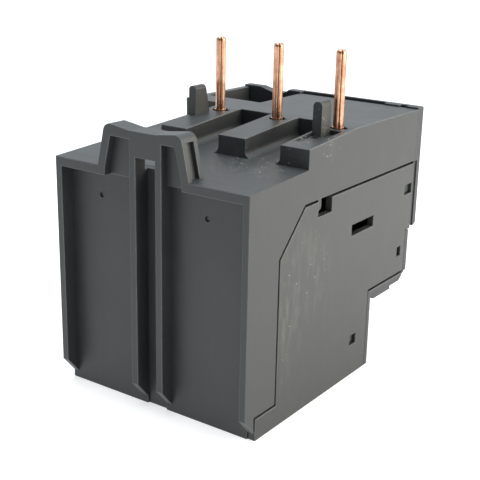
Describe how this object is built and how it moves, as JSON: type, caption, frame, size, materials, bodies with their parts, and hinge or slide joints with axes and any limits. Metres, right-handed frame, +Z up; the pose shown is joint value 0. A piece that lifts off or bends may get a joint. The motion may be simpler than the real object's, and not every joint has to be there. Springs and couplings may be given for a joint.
{
  "type": "thermal overload relay",
  "caption": "Dark plastic motor overload relay with copper plug-in pins, heated bimetals, trip bars, setting dial, reset and stop buttons and screw terminals.",
  "frame": {"origin": "middle of the footprint, on the bottom face that the relay stands on", "axes": "+Z up along the plug-in pins, -Y out of the front with the dial and buttons, +X to the right of someone facing that front"},
  "size_m": [0.045, 0.07, 0.0675],
  "materials": {
    "housing_plastic": "fine moulded texture",
    "cover_plastic": "fine moulded texture",
    "terminal_plastic": "smooth matt",
    "pin_copper": "drawn, bright",
    "heater_alloy": "rolled",
    "bimetal_alloy": "rolled",
    "tinned_copper": "tinned",
    "zinc_steel": "zinc plated",
    "spring_steel": "bright wire",
    "mechanism_plastic": "natural",
    "dial_plastic": "satin",
    "reset_plastic": "satin",
    "stop_plastic": "satin",
    "flag_plastic": "satin",
    "clear_flap": "clear"
  },
  "bodies": {
    "frame": {"main_housing": "housing_plastic", "side_cover": "cover_plastic", "front_panel": "housing_plastic", "main_terminal_block": "terminal_plastic", "aux_terminal_block": "terminal_plastic", "contact_pin_1": "pin_copper", "heater_winding_1": "heater_alloy", "terminal_bar_1": "tinned_copper", "main_clamp_washer_1": "zinc_steel", "contact_pin_2": "pin_copper", "heater_winding_2": "heater_alloy", "terminal_bar_2": "tinned_copper", "main_clamp_washer_2": "zinc_steel", "contact_pin_3": "pin_copper", "heater_winding_3": "heater_alloy", "terminal_bar_3": "tinned_copper", "main_clamp_washer_3": "zinc_steel", "aux_contact_plate_1": "tinned_copper", "aux_clamp_washer_1": "zinc_steel", "aux_contact_plate_2": "tinned_copper", "aux_clamp_washer_2": "zinc_steel", "aux_contact_plate_3": "tinned_copper", "aux_clamp_washer_3": "zinc_steel", "aux_contact_plate_4": "tinned_copper", "aux_clamp_washer_4": "zinc_steel", "rocker_pin": "zinc_steel", "reset_spring": "spring_steel", "stop_spring": "spring_steel", "flap_hinge_pin": "zinc_steel"},
    "driver": {"driver_bar": "mechanism_plastic", "driver_arm": "mechanism_plastic"},
    "follower": {"follower_bar": "mechanism_plastic"},
    "lever": {"compensating_lever": "bimetal_alloy"},
    "adjuster": {"adjuster_slide": "mechanism_plastic"},
    "rocker": {"trip_rocker": "mechanism_plastic", "nc_bridge": "tinned_copper", "no_bridge": "tinned_copper", "trip_indicator": "flag_plastic"},
    "dial": {"setting_dial": "dial_plastic", "dial_cam": "mechanism_plastic"},
    "sleeve": {"mode_sleeve": "dial_plastic"},
    "reset": {"reset_button": "reset_plastic"},
    "stop": {"stop_button": "stop_plastic"},
    "test": {"test_slider": "mechanism_plastic"},
    "flap": {"dial_flap": "clear_flap"},
    "strip_1": {"bimetal_strip_1": "bimetal_alloy"},
    "main_screw_1": {"main_screw_1": "zinc_steel"},
    "strip_2": {"bimetal_strip_2": "bimetal_alloy"},
    "main_screw_2": {"main_screw_2": "zinc_steel"},
    "strip_3": {"bimetal_strip_3": "bimetal_alloy"},
    "main_screw_3": {"main_screw_3": "zinc_steel"},
    "aux_screw_1": {"aux_screw_1": "zinc_steel"},
    "aux_screw_2": {"aux_screw_2": "zinc_steel"},
    "aux_screw_3": {"aux_screw_3": "zinc_steel"},
    "aux_screw_4": {"aux_screw_4": "zinc_steel"}
  },
  "joints": [
    {"name": "driver_slide", "type": "slide", "parent": "frame", "child": "driver", "axis": [1, 0, 0], "range_m": [0, 0.0016], "stiffness_N_per_m": 150},
    {"name": "follower_slide", "type": "slide", "parent": "frame", "child": "follower", "axis": [1, 0, 0], "range_m": [0, 0.0016]},
    {"name": "dial_turn", "type": "hinge", "parent": "frame", "child": "dial", "pos_m": [-0.0095, -0.0295, 0.0417], "axis": [0, 1, 0], "range_deg": [0, 270]},
    {"name": "adjuster_slide", "type": "slide", "parent": "frame", "child": "adjuster", "axis": [1, 0, 0], "range_m": [0, 0.002]},
    {"name": "lever_pivot", "type": "hinge", "parent": "adjuster", "child": "lever", "pos_m": [0.0042, -0.0037, 0.042], "axis": [0, -1, 0], "range_deg": [0, 10.35]},
    {"name": "rocker_pivot", "type": "hinge", "parent": "frame", "child": "rocker", "pos_m": [0, -0.012, 0.0455], "axis": [0, -1, 0], "range_deg": [0, 8]},
    {"name": "sleeve_turn", "type": "hinge", "parent": "frame", "child": "sleeve", "pos_m": [0.0145, -0.0295, 0.0355], "axis": [0, 1, 0], "range_deg": [0, 90]},
    {"name": "reset_press", "type": "slide", "parent": "sleeve", "child": "reset", "axis": [0, 1, 0], "range_m": [0, 0.0025], "stiffness_N_per_m": 500, "springref_m": -0.001, "deforming": ["reset_spring"]},
    {"name": "stop_press", "type": "slide", "parent": "frame", "child": "stop", "axis": [0, 1, 0], "range_m": [0, 0.002], "stiffness_N_per_m": 500, "springref_m": -0.001, "deforming": ["stop_spring"]},
    {"name": "test_slide", "type": "slide", "parent": "frame", "child": "test", "axis": [1, 0, 0], "range_m": [0, 0.0016], "stiffness_N_per_m": 300, "springref_m": -0.0005},
    {"name": "flap_hinge", "type": "hinge", "parent": "frame", "child": "flap", "pos_m": [-0.0077, -0.0312, 0.051], "axis": [-1, 0, 0], "range_deg": [0, 110]},
    {"name": "strip_bend_1", "type": "hinge", "parent": "frame", "child": "strip_1", "pos_m": [-0.01355, 0.014, 0.0148], "axis": [0, 1, 0], "range_deg": [0, 4.3]},
    {"name": "strip_bend_2", "type": "hinge", "parent": "frame", "child": "strip_2", "pos_m": [0.00045, 0.014, 0.0148], "axis": [0, 1, 0], "range_deg": [0, 4.3]},
    {"name": "strip_bend_3", "type": "hinge", "parent": "frame", "child": "strip_3", "pos_m": [0.01445, 0.014, 0.0148], "axis": [0, 1, 0], "range_deg": [0, 4.3]},
    {"name": "main_screw_turn_1", "type": "hinge", "parent": "frame", "child": "main_screw_1", "pos_m": [-0.014, -0.005, 0.0095], "axis": [0, 1, 0], "continuous": true},
    {"name": "main_screw_turn_2", "type": "hinge", "parent": "frame", "child": "main_screw_2", "pos_m": [0, -0.005, 0.0095], "axis": [0, 1, 0], "continuous": true},
    {"name": "main_screw_turn_3", "type": "hinge", "parent": "frame", "child": "main_screw_3", "pos_m": [0.014, -0.005, 0.0095], "axis": [0, 1, 0], "continuous": true},
    {"name": "aux_screw_turn_1", "type": "hinge", "parent": "frame", "child": "aux_screw_1", "pos_m": [-0.0162, -0.02, 0.021], "axis": [0, 1, 0], "continuous": true},
    {"name": "aux_screw_turn_2", "type": "hinge", "parent": "frame", "child": "aux_screw_2", "pos_m": [-0.0054, -0.02, 0.021], "axis": [0, 1, 0], "continuous": true},
    {"name": "aux_screw_turn_3", "type": "hinge", "parent": "frame", "child": "aux_screw_3", "pos_m": [0.0054, -0.02, 0.021], "axis": [0, 1, 0], "continuous": true},
    {"name": "aux_screw_turn_4", "type": "hinge", "parent": "frame", "child": "aux_screw_4", "pos_m": [0.0162, -0.02, 0.021], "axis": [0, 1, 0], "continuous": true}
  ],
  "couplings": [
    {"joint": "follower_slide", "follows": "driver_slide", "ratio": 1},
    {"joint": "lever_pivot", "follows": "driver_slide", "rad_per_m": 112.36},
    {"joint": "rocker_pivot", "follows": "driver_slide", "rad_per_m": 87.2},
    {"joint": "adjuster_slide", "follows": "dial_turn", "m_per_rad": 0.000424},
    {"joint": "strip_bend_1", "follows": "driver_slide", "rad_per_m": 46.3},
    {"joint": "strip_bend_2", "follows": "driver_slide", "rad_per_m": 46.3},
    {"joint": "strip_bend_3", "follows": "driver_slide", "rad_per_m": 46.3}
  ]
}
